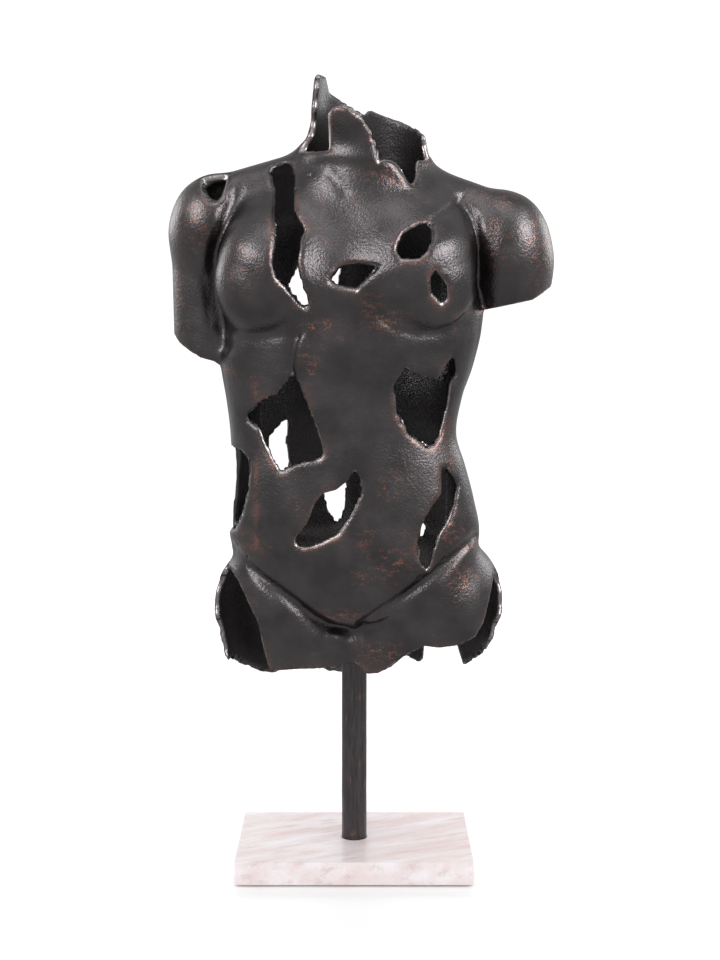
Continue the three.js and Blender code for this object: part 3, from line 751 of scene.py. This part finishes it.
# %% [markdown]
# ## Blackened steel rod
# The rod is a plain drawn bar, hammered a little out of true, with its black skin streaked along its
# length. A shape that follows a line is what Geometry Nodes are good at: a straight line is cut into
# short steps, its points are nudged sideways by noise, and a circle is swept along it. The sizes are
# inputs of the tree, so the same tree could make any such rod.

# %% Finish of the rod
def blackened_steel():
    material, tree = new_material("blackened_drawn_steel")
    where = add_node(tree, "ShaderNodeTexCoord").outputs["Object"]
    stretched = add_node(tree, "ShaderNodeMapping", Vector=where, Scale=(1.0, 1.0, 0.12))
    streak = add_node(tree, "ShaderNodeTexNoise", Vector=stretched, Scale=MM / 2.2, Detail=4.0, Roughness=0.6)
    cloud = add_node(tree, "ShaderNodeTexNoise", Vector=where, Scale=MM / 14, Detail=3.0)
    shade = add_node(tree, "ShaderNodeMapRange", Value=streak, From_Min=0.35, From_Max=0.65)
    colour = add_node(tree, "ShaderNodeMix", COLOURS, in0=shade, in6=linear("#454243"), in7=linear("#565253"))
    rubbed = add_node(tree, "ShaderNodeMath", TIMES, in0=streak, in1=cloud)
    rubbed = add_node(tree, "ShaderNodeMapRange", Value=rubbed, From_Min=0.33, From_Max=0.42, To_Max=0.5)
    colour = add_node(tree, "ShaderNodeMix", COLOURS, in0=rubbed, in6=colour, in7=linear("#96685a"))
    grain = add_node(tree, "ShaderNodeTexNoise", Vector=where, Scale=MM / 1.4, Detail=2.0)
    bump = add_node(tree, "ShaderNodeBump", Strength=0.35, Distance=0.0004, Height=grain)
    rough = add_node(tree, "ShaderNodeMapRange", Value=cloud, From_Min=0.3, From_Max=0.7, To_Min=0.38,
                     To_Max=0.5)
    shader = add_node(tree, "ShaderNodeBsdfPrincipled", Metallic=1.0, Base_Color=colour, Roughness=rough,
                      Normal=bump)
    add_node(tree, "ShaderNodeOutputMaterial", Surface=shader)
    return material


# %% Geometry Nodes helpers
def new_node_group(name, sizes):
    """A geometry tree with named number inputs, and the node that gives them"""
    tree = bpy.data.node_groups.new(name, "GeometryNodeTree")
    tree.interface.new_socket("Geometry", in_out="INPUT", socket_type="NodeSocketGeometry")
    for size_name in sizes:
        tree.interface.new_socket(size_name, in_out="INPUT", socket_type="NodeSocketFloat")
    tree.interface.new_socket("Geometry", in_out="OUTPUT", socket_type="NodeSocketGeometry")
    return tree, tree.nodes.new("NodeGroupInput")


def end_tree(tree, geometry, material):
    """Realizes what the tree made, sets its material and sends it out"""
    real = add_node(tree, "GeometryNodeRealizeInstances", Geometry=geometry)
    smooth = add_node(tree, "GeometryNodeSetShadeSmooth", Geometry=real)
    dressed = add_node(tree, "GeometryNodeSetMaterial", Geometry=smooth, Material=material)
    add_node(tree, "NodeGroupOutput", Geometry=dressed)


def grown_piece(name, tree, sizes, material):
    """Runs a geometry tree with its sizes and keeps the result as a plain mesh object"""
    seed_mesh = bpy.data.meshes.new(name + "_seed")
    seed = bpy.data.objects.new(name + "_seed", seed_mesh)
    bpy.context.scene.collection.objects.link(seed)
    modifier = seed.modifiers.new("grow", "NODES")
    modifier.node_group = tree
    for item in tree.interface.items_tree:
        if item.in_out == "INPUT" and item.name in sizes:
            modifier[item.identifier] = float(sizes[item.name])
    ready = seed.evaluated_get(bpy.context.evaluated_depsgraph_get())
    mesh = bpy.data.meshes.new_from_object(ready)
    mesh.name = name
    bpy.data.objects.remove(seed)
    bpy.data.meshes.remove(seed_mesh)
    mesh.transform(Matrix.Translation((axis_x / MM, axis_y / MM, 0)))
    if not mesh.materials:
        mesh.materials.append(material)
    piece = bpy.data.objects.new(name, mesh)
    bpy.context.scene.collection.objects.link(piece)
    return piece


# %% Rod swept along its line
def rod_tree(material):
    tree, given = new_node_group("Drawn rod", ["Bottom", "Top", "Radius", "Wander"])
    low = add_node(tree, "ShaderNodeCombineXYZ", Z=given.outputs["Bottom"])
    high = add_node(tree, "ShaderNodeCombineXYZ", Z=given.outputs["Top"])
    line = add_node(tree, "GeometryNodeCurvePrimitiveLine", Start=low, End=high)
    steps = add_node(tree, "GeometryNodeResampleCurve", Curve=line, Count=72)
    place = add_node(tree, "GeometryNodeInputPosition")
    drift = add_node(tree, "ShaderNodeTexNoise", Vector=place, Scale=22.0, Detail=1.0).outputs["Color"]
    centred = add_node(tree, "ShaderNodeVectorMath", {"operation": "SUBTRACT"}, in0=drift,
                       in1=(0.5, 0.5, 0.5))
    flat = add_node(tree, "ShaderNodeVectorMath", TIMES, in0=centred, in1=(1, 1, 0))
    nudge = add_node(tree, "ShaderNodeVectorMath", {"operation": "SCALE"}, in0=flat,
                     Scale=given.outputs["Wander"])
    bent = add_node(tree, "GeometryNodeSetPosition", Geometry=steps, Offset=nudge)
    circle = add_node(tree, "GeometryNodeCurvePrimitiveCircle", Resolution=56,
                      Radius=given.outputs["Radius"])
    swept = add_node(tree, "GeometryNodeCurveToMesh", Curve=bent, Profile_Curve=circle, Fill_Caps=True)
    end_tree(tree, swept, material)
    return tree


rod_wander = 0.6
rod_metal = blackened_steel()
rod = grown_piece("round_rod", rod_tree(rod_metal), {
    "Bottom": rod_low[2] / MM, "Top": rod_high[2] / MM, "Radius": rod_radius / MM,
    "Wander": rod_wander / MM}, rod_metal)
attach(rod, "root")
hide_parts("rod")
print("rod faces:", len(rod.data.polygons))

# %% [markdown]
# ## Marble slab
# The slab was sawn and polished, with its edges eased to about a millimetre, and the rod stands in a
# hole drilled from the top. Rings of points are laid from the bottom of the hole up its wall, out over
# the top, round the eased edge and down to the underside, and neighbouring rings are joined by faces.

# %% Slab from rings
def rounded_outline(half_x, half_y, radius, per_corner=8, per_side=14):
    """Points round a rectangle with round corners, anticlockwise from above"""
    points = []
    for turn, (sx, sy) in enumerate(((1, 1), (-1, 1), (-1, -1), (1, -1))):
        centre = np.array([sx * (half_x - radius), sy * (half_y - radius)])
        for step in range(per_corner + 1):
            angle = math.radians(90 * (turn + step / per_corner))
            points.append(centre + radius * np.array([math.cos(angle), math.sin(angle)]))
        nx, ny = ((-1, 1), (-1, -1), (1, -1), (1, 1))[turn]
        following = np.array([nx * (half_x - radius), ny * (half_y - radius)])
        angle = math.radians(90 * (turn + 1))
        goal = following + radius * np.array([math.cos(angle), math.sin(angle)])
        points += [points[-1] + (goal - points[-1]) * k / per_side for k in range(1, per_side)]
    return np.array(points)


def lofted(name, rings):
    """A closed piece through rings of equal point counts, with a flat cap at each end"""
    size = len(rings[0])
    faces = [[a * size + i, a * size + (i + 1) % size, (a + 1) * size + (i + 1) % size, (a + 1) * size + i]
             for a in range(len(rings) - 1) for i in range(size)]
    faces += [list(range(size))[::-1], [(len(rings) - 1) * size + i for i in range(size)]]
    piece = new_piece(name, np.concatenate(rings), faces)
    made = bmesh.new()
    made.from_mesh(piece.data)
    bmesh.ops.recalc_face_normals(made, faces=made.faces)
    made.to_mesh(piece.data)
    made.free()
    return piece


def slab_rings():
    half_x, half_y = (slab_high[:2] - slab_low[:2]) / 2
    bottom, top = slab_low[2], slab_high[2]
    corner, ease, hole_ease = 3.0, 1.0, 0.3
    rod_hole, hole_floor = rod_radius + fit_gap, rod_low[2] - fit_gap

    def rectangle(inset, up):
        outline = rounded_outline(half_x - inset, half_y - inset, corner - inset)
        return np.column_stack([outline, np.full(len(outline), up)])

    directions = rectangle(ease, 0.0)[:, :2]
    directions /= np.linalg.norm(directions, axis=1)[:, None]

    def circle(radius, up):
        return np.column_stack([directions * radius, np.full(len(directions), up)])

    quarter = [math.radians(angle) for angle in (0, 22.5, 45, 67.5, 90)]
    rings = [circle(rod_hole, hole_floor), circle(rod_hole, top - hole_ease),
             circle(rod_hole + hole_ease, top)]
    rings += [rectangle(ease * (1 - math.sin(a)), top - ease * (1 - math.cos(a))) for a in quarter]
    rings += [rectangle(ease * (1 - math.cos(a)), bottom + ease * (1 - math.sin(a))) for a in quarter]
    return rings


slab = lofted("marble_slab", slab_rings())
eased_area, upright = 4e-6, 0.05  # the eased edges' faces are small, and the walls' stand upright
rounded = [face.area < eased_area or abs(face.normal.z) < upright for face in slab.data.polygons]
slab.data.polygons.foreach_set("use_smooth", rounded)
print("slab faces:", len(slab.data.polygons))

# %% [markdown]
# ## Polished marble
# Marble is limestone that was pressed and heated until it grew new crystals; streaks of other minerals
# in it became veins. These cross the slab aslant, from the front left to the back right, and the sawn
# front shows the same streaks end on as warm blotches. The veins are noise drawn long in one direction
# and short in the other two. Polishing leaves a roughness of about 0.05.

# %% Finish of the slab
def marble():
    material, tree = new_material("polished_pink_marble")
    where = add_node(tree, "ShaderNodeTexCoord").outputs["Object"]
    along = add_node(tree, "ShaderNodeMapping", {"vector_type": "TEXTURE"}, Vector=where,
                     Rotation=(0.0, -0.15, 0.42), Scale=(7.0, 1.0, 1.5))
    crystal = add_node(tree, "ShaderNodeTexNoise", Vector=where, Scale=MM / 1.5, Detail=3.0, Roughness=0.6)
    colour = linear("#f3eef1")
    for place, grain, detail, roughness, low, high, most, tint in (
            (along, 17, 4.0, 0.55, 0.35, 0.68, 1.0, "#e3cfce"),  # soft bands
            (along, 6, 6.0, 0.7, 0.52, 0.70, 0.6, "#c8aeaa"),  # fine veins
            (where, 14, 4.0, 0.6, 0.52, 0.74, 0.4, "#eccabf")):  # warm blotches
        pattern = add_node(tree, "ShaderNodeTexNoise", Vector=place, Scale=MM / grain, Detail=detail,
                           Roughness=roughness)
        share = add_node(tree, "ShaderNodeMapRange", Value=pattern, From_Min=low, From_Max=high, To_Max=most)
        colour = add_node(tree, "ShaderNodeMix", COLOURS, in0=share, in6=colour, in7=linear(tint))
    share = add_node(tree, "ShaderNodeMapRange", Value=crystal, From_Min=0.4, From_Max=0.7, To_Max=0.18)
    colour = add_node(tree, "ShaderNodeMix", COLOURS, in0=share, in6=colour, in7=linear("#ffffff"))
    rough = add_node(tree, "ShaderNodeMapRange", Value=crystal, From_Min=0.3, From_Max=0.7, To_Min=0.03,
                     To_Max=0.07)
    shader = add_node(tree, "ShaderNodeBsdfPrincipled", Base_Color=colour, IOR=1.5, Roughness=rough)
    add_node(tree, "ShaderNodeOutputMaterial", Surface=shader)
    return material


slab.data.materials.append(marble())
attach(slab, "root")
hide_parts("slab")

# %% [markdown]
# ## Pads
# Four small clear rubber bumpers keep the slab off the table. They are all alike, so one is built once
# and set on the four corners of a grid: this is what instances are for. A disc is pushed up from a
# circle, and pushed again while it shrinks for the rounded edge.

# %% Finish and tree of the pads
def bumper_rubber():
    material, tree = new_material("moulded_clear_rubber")
    where = add_node(tree, "ShaderNodeTexCoord").outputs["Object"]
    haze = add_node(tree, "ShaderNodeTexNoise", Vector=where, Scale=MM / 2, Detail=2.0)
    share = add_node(tree, "ShaderNodeMapRange", Value=haze, From_Min=0.3, From_Max=0.7)
    colour = add_node(tree, "ShaderNodeMix", COLOURS, in0=share, in6=linear("#cfc9c4"), in7=linear("#ddd8d3"))
    rough = add_node(tree, "ShaderNodeMapRange", Value=haze, From_Min=0.3, From_Max=0.7, To_Min=0.45,
                     To_Max=0.6)
    shader = add_node(tree, "ShaderNodeBsdfPrincipled", Base_Color=colour, IOR=1.5, Roughness=rough)
    add_node(tree, "ShaderNodeOutputMaterial", Surface=shader)
    return material


def pads_tree(material):
    tree, given = new_node_group("Corner pads", ["Span X", "Span Y", "Radius", "Edge", "Height"])
    sizes = given.outputs
    disc = add_node(tree, "GeometryNodeMeshCircle", {"fill_type": "NGON"}, Vertices=40,
                    Radius=sizes["Radius"])
    wall = add_node(tree, "ShaderNodeMath", {"operation": "SUBTRACT"}, in0=sizes["Height"], in1=sizes["Edge"])
    raised = add_node(tree, "GeometryNodeExtrudeMesh", {"mode": "FACES"}, Mesh=disc, Offset_Scale=wall)
    eased = add_node(tree, "GeometryNodeExtrudeMesh", {"mode": "FACES"}, Mesh=raised,
                     Selection=raised.outputs["Top"], Offset_Scale=sizes["Edge"])
    shrink = add_node(tree, "GeometryNodeScaleElements", Geometry=eased, Selection=eased.outputs["Top"],
                      Scale=0.93)
    floor_side = add_node(tree, "GeometryNodeFlipFaces", Mesh=disc)
    both = add_node(tree, "GeometryNodeJoinGeometry", Geometry=shrink)
    tree.links.new(floor_side.outputs["Mesh"], both.inputs["Geometry"])
    closed = add_node(tree, "GeometryNodeMergeByDistance", Geometry=both, Distance=1e-6)
    corners = add_node(tree, "GeometryNodeMeshGrid", Size_X=sizes["Span X"], Size_Y=sizes["Span Y"],
                       Vertices_X=2, Vertices_Y=2)
    set_down = add_node(tree, "GeometryNodeInstanceOnPoints", Points=corners, Instance=closed)
    end_tree(tree, set_down, material)
    return tree


pad_edge = 0.3
pad_rubber = bumper_rubber()
pad_centre = (pad_low[:2] + pad_high[:2]) / 2 - [axis_x, axis_y]
pads = grown_piece("corner_pads", pads_tree(pad_rubber), {
    "Span X": 2 * abs(pad_centre[0]) / MM, "Span Y": 2 * abs(pad_centre[1]) / MM,
    "Radius": (pad_high[0] - pad_low[0]) / 2 / MM, "Edge": pad_edge / MM,
    "Height": pad_high[2] / MM}, pad_rubber)
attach(pads, "root")
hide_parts("pad_front_left", "pad_front_right", "pad_back_left", "pad_back_right")
print("pad faces:", len(pads.data.polygons))

# %% [markdown]
# ## Floor and light
# A product picture has a pale floor that fades into a pale wall. Two large soft boxes high on the left
# and right draw the broad highlights on the shoulders, breasts and thighs, and the space in front stays
# dim, which keeps the belly dark. The world is brightest to the camera and to dull surfaces, for a pale
# floor and marble, and dimmer in reflections, so it doesn't flood the metal. A last lamp behind the
# slab lights the marble and leaves reflections alone.

# %% Floor
aside, near, far = 4000, -3000, 6000
floor = new_piece("floor", [(-aside, near, 0), (aside, near, 0), (aside, far, 0), (-aside, far, 0)],
                  [(0, 1, 2, 3)])
floor_paint, paint_tree = new_material("matt_white_paint")
paint = add_node(paint_tree, "ShaderNodeBsdfPrincipled", Base_Color=linear("#fdfdfd"), Roughness=0.9)
add_node(paint_tree, "ShaderNodeOutputMaterial", Surface=paint)
floor.data.materials.append(floor_paint)
floor.visible_glossy = False

# %% World and lamps
scene = bpy.context.scene
world = bpy.data.worlds.new("studio")
scene.world = world
world.use_nodes = True
world_tree = world.node_tree
world_tree.nodes.clear()
in_reflections, elsewhere = 0.62, 1.12
ray = add_node(world_tree, "ShaderNodeLightPath").outputs
direct = add_node(world_tree, "ShaderNodeMath", LARGER, in0=ray["Is Camera Ray"], in1=ray["Is Diffuse Ray"])
strength = add_node(world_tree, "ShaderNodeMapRange", Value=direct, To_Min=in_reflections, To_Max=elsewhere)
glow = add_node(world_tree, "ShaderNodeBackground", Color=(1, 1, 1, 1), Strength=strength)
add_node(world_tree, "ShaderNodeOutputWorld", Surface=glow)


def soft_box(name, place, size, power, aim=(0.0, 0.0, 0.42), on_metal=True):
    """A square lamp that faces the figure, and is meant for the metal or for the marble"""
    lamp = bpy.data.lights.new(name, "AREA")
    lamp.size = size
    lamp.energy = power
    holder = bpy.data.objects.new(name, lamp)
    holder.location = place
    holder.rotation_euler = (Vector(aim) - Vector(place)).to_track_quat("-Z", "Y").to_euler()
    holder.visible_diffuse = not on_metal
    holder.visible_glossy = on_metal
    scene.collection.objects.link(holder)


soft_box("left_box", (-1.15, -0.9, 1.5), 0.8, 22)
soft_box("right_box", (1.25, -0.75, 1.4), 0.8, 30)
soft_box("top_box", (0.0, -0.3, 2.1), 0.8, 5)
soft_box("rim_left", (-1.4, 1.1, 0.9), 0.7, 8)
soft_box("rim_right", (1.4, 1.1, 0.9), 0.7, 8)
soft_box("slab_box", (0.0, 1.3, 1.2), 0.8, 8, aim=(0.0, 0.0, 0.02), on_metal=False)

# %% [markdown]
# ## Camera
# The slab's four corners in the picture fix where the camera stood: about 1.37 m in front of the rod,
# half a metre up and tipped 7 degrees down, with the field of a 60.6 mm lens.

# %% Camera
camera_aside, camera_back, camera_up, camera_tilt = 5.0, 1365.5, 0.503, 7.0
camera_data = bpy.data.cameras.new("camera")
camera_data.sensor_width = 36.0
camera_data.lens = 60.6
camera_data.clip_start = 0.1
camera = bpy.data.objects.new("camera", camera_data)
camera.location = ((axis_x + camera_aside) / MM, (axis_y - camera_back) / MM, camera_up)
camera.rotation_euler = (math.radians(90.0 - camera_tilt), 0.0, 0.0)
scene.collection.objects.link(camera)
scene.camera = camera
scene.view_settings.view_transform = "Standard"
print("camera at", tuple(round(value, 4) for value in camera.location))
